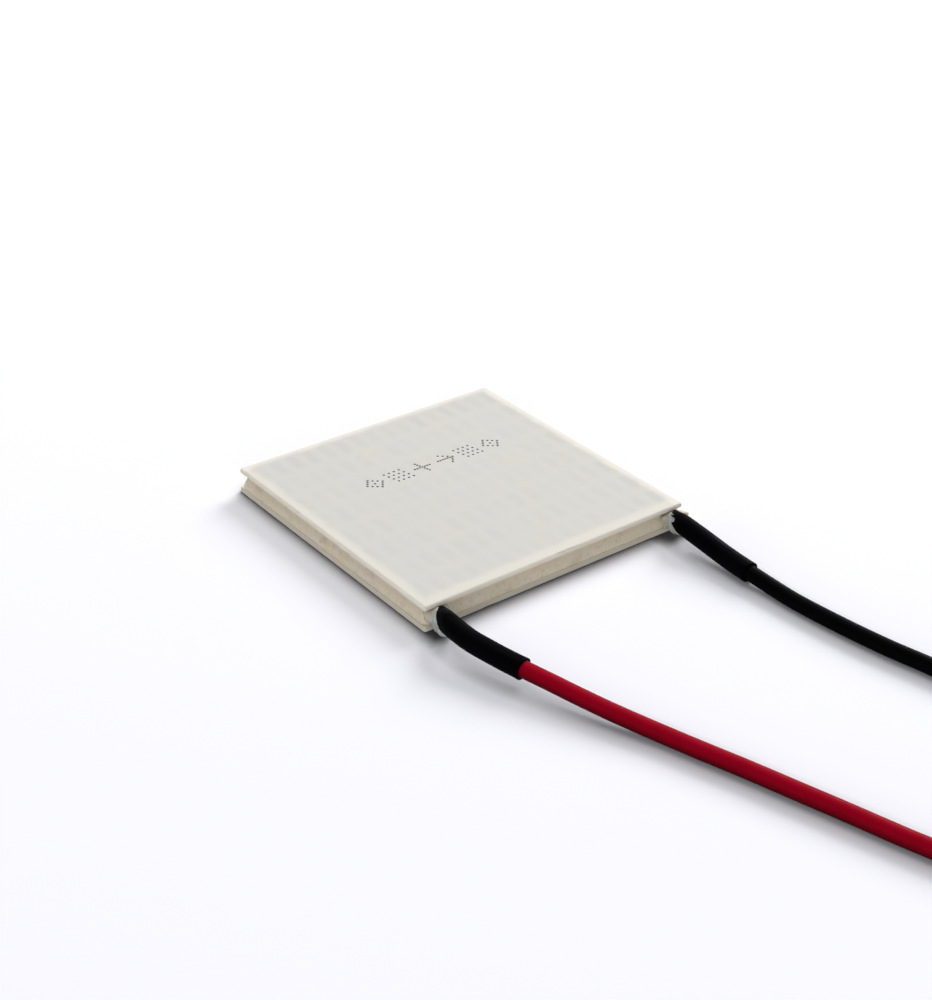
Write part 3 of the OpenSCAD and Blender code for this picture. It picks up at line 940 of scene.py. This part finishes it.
make_plate("hot_side_ceramic", HOT_LOW, HOT_HIGH, CERAMIC_HOT, HOT_EDGE, 2.0,
           ("hot_side_plate",))
make_plate("cold_side_ceramic", COLD_LOW, COLD_HIGH, CERAMIC_COLD, COLD_EDGE, 9.0,
           ("cold_side_plate",))

bead = make_edge_sealant()
cut_notch(bead, RED_EXIT.x)
cut_notch(bead, BLACK_EXIT.x)
add_piece("edge_sealant", mesh_from(bead, "edge_sealant"), SEALANT, ("edge_seal",))
corner = Vector((HALF_WIDTH, -HALF_DEPTH, (GAP_LOW + GAP_HIGH) / 2))
make_dab("squeezed_out_sealant", corner, CORNER_LUMPS, SEALANT)
make_marks()

CAD_FINISHES = {
    "hot_side_tabs": COPPER, "cold_side_tabs": COPPER, "red_terminal_pad": COPPER,
    "black_terminal_pad": COPPER, "p_type_pellets": P_PELLET, "n_type_pellets": N_PELLET,
    "hot_side_solder": SOLDER, "cold_side_solder": SOLDER, "red_terminal_solder": SOLDER,
    "black_terminal_solder": SOLDER, "red_lead_core": TINNED, "black_lead_core": TINNED,
}
for node_name, finish in CAD_FINISHES.items():
    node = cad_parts[node_name]
    node.data.materials.clear()
    node.data.materials.append(finish)


# ---------- Floor and light ----------

FLOOR_REACH = 3
FLOOR_END = (0.25, 0.6)  # where the floor gives way to an even white, as far as it is seen
FLOOR_WHITE = colour(0.985, 0.98, 1.03)
FLOOR_BOUNCE = colour(0.78, 0.78, 0.78)  # what the floor throws back at the object
CONTACT_SHADE = colour(0.09, 0.085, 0.09)
CONTACT_REACH = 2.8 * MM
# The contact shade is for the foot of the plates, and mostly fades out away from them
FADE_OUT = (HALF_WIDTH + 1.5 * MM, HALF_WIDTH + 3.5 * MM)
FADE_AMOUNT = 0.75
LAMP_DISTANCE = 1.75


def make_floor():
    bm = bmesh.new()
    bmesh.ops.create_grid(bm, x_segments=1, y_segments=1, size=FLOOR_REACH)
    floor = bpy.data.objects.new("floor", mesh_from(bm, "floor"))
    bpy.context.scene.collection.objects.link(floor)
    material = bpy.data.materials.new("white_floor")
    material.use_nodes = True
    tree = material.node_tree
    tree.nodes.clear()
    s = Shader(tree)
    rays = s.node("ShaderNodeLightPath").outputs
    reflected = s.larger(rays["Is Glossy Ray"], rays["Is Transmission Ray"])
    seen = s.larger(rays["Is Camera Ray"], reflected)
    place = s.node("ShaderNodeTexCoord").outputs["Object"]
    across = s.split(place)
    outward = s.larger(s.absolute(across["X"]), s.absolute(across["Y"]))
    away = s.ramp(outward, *FADE_OUT, 0.0, FADE_AMOUNT)
    contact = s.node("ShaderNodeAmbientOcclusion", {"Distance": CONTACT_REACH}, samples=8)
    unshaded = s.larger(s.ramp(contact.outputs["AO"], 0.5, 1.0), away)
    shown = s.mix(unshaded, CONTACT_SHADE, FLOOR_WHITE)
    surface = s.node("ShaderNodeBsdfDiffuse", {"Color": s.mix(seen, FLOOR_BOUNCE, shown)})
    backdrop = s.node("ShaderNodeEmission", {"Color": colour(1, 1, 1), "Strength": 1.0})
    distance = s.node("ShaderNodeVectorMath", {0: place}, operation="LENGTH").outputs["Value"]
    far = s.math("MULTIPLY", seen, s.ramp(distance, *FLOOR_END))
    blend = s.node("ShaderNodeMixShader", {0: far, 1: surface.outputs[0], 2: backdrop.outputs[0]})
    s.put(s.node("ShaderNodeOutputMaterial").inputs["Surface"], blend.outputs[0])
    floor.data.materials.append(material)


def make_lamp(name, direction, size, power):
    """A round area lamp that shines at the plates from the given direction."""
    lamp = bpy.data.objects.new(name, bpy.data.lights.new(name, "AREA"))
    bpy.context.scene.collection.objects.link(lamp)
    toward = Vector(direction).normalized()
    lamp.location = toward * LAMP_DISTANCE
    lamp.rotation_mode = "QUATERNION"
    lamp.rotation_quaternion = toward.to_track_quat("Z", "Y")
    lamp.data.shape = "DISK"
    lamp.data.size = size
    lamp.data.energy = power


def make_world(strength):
    """Cool, even light from all round, and plain white where the surroundings are seen."""
    world = bpy.data.worlds.new("studio")
    bpy.context.scene.world = world
    world.use_nodes = True
    s = Shader(world.node_tree)
    background = world.node_tree.nodes["Background"]
    rays = s.node("ShaderNodeLightPath").outputs
    seen = s.larger(rays["Is Camera Ray"], rays["Is Transmission Ray"])
    s.put(background.inputs["Color"], s.mix(seen, colour(0.93, 0.96, 1.0), colour(1, 1, 1)))
    s.put(background.inputs["Strength"], s.math("MULTIPLY_ADD", seen, 1 - strength, strength))


make_floor()
make_lamp("window", (0.85, 0.3, 0.5), 0.9, 25.0)
make_lamp("overhead", (0.15, 0.5, 0.85), 1.5, 13.1)
make_lamp("card", (-0.9, -0.25, 0.3), 1.25, 6.25)
make_lamp("front", (-0.35, -1, 0.2), 1.5, 7.5)
make_world(0.24)

bpy.context.scene.view_settings.view_transform = "Standard"
